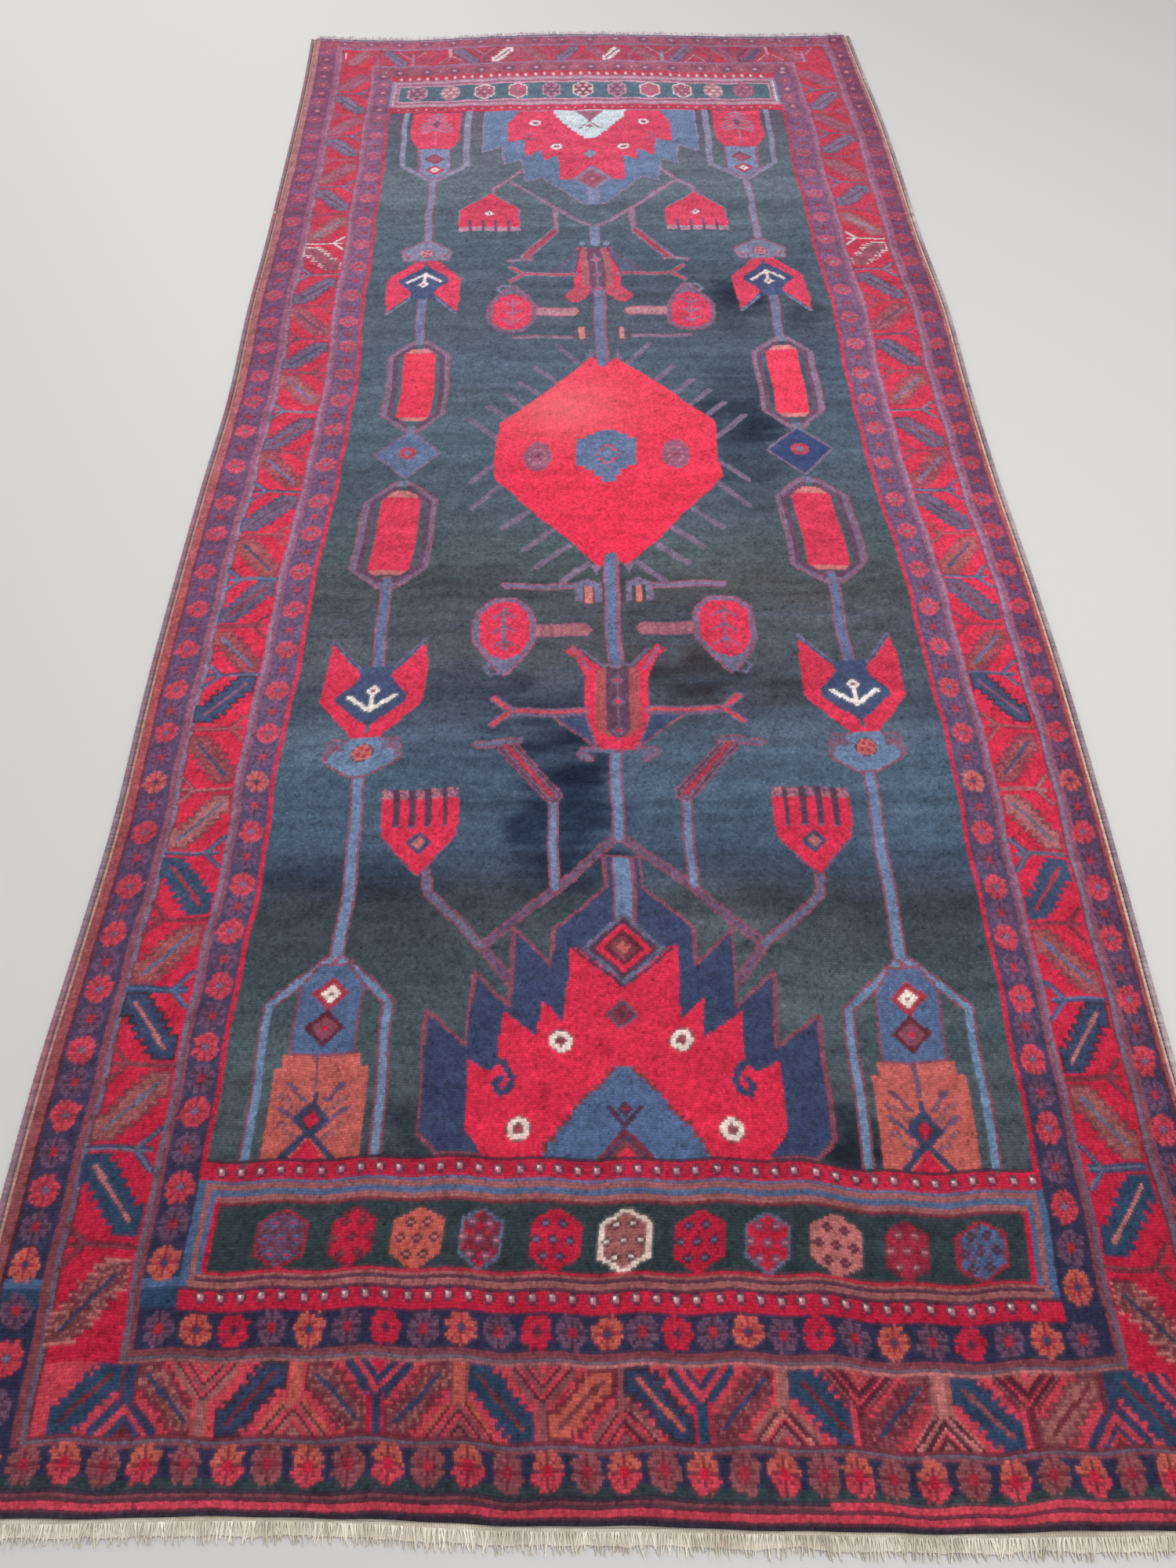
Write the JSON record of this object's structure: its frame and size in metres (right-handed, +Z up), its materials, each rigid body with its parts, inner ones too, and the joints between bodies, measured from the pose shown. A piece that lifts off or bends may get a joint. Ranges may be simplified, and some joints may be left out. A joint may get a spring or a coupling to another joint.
{
  "type": "persian rug",
  "caption": "Long hand-knotted wool rug laid flat: crimson medallion and palmettes on a blue-green field, crimson leaf border, rosette guards, cream fringe.",
  "frame": {"origin": "middle of the rug's outline, on the floor under it", "axes": "+X across the rug, +Y along it from the near end to the far end, +Z up from the floor"},
  "size_m": [1.513, 3.5782, 0.0145],
  "materials": {
    "wool_pile": "cut wool pile, matt with a slight sheen",
    "overcast_wool": "wool overcasting, matt",
    "end_cotton": "undyed cotton, matt"
  },
  "bodies": {
    "root": {"rug_body": "wool_pile", "selvedge_left": "overcast_wool", "selvedge_right": "overcast_wool", "end_near": "end_cotton", "end_far": "end_cotton"}
  },
  "joints": []
}
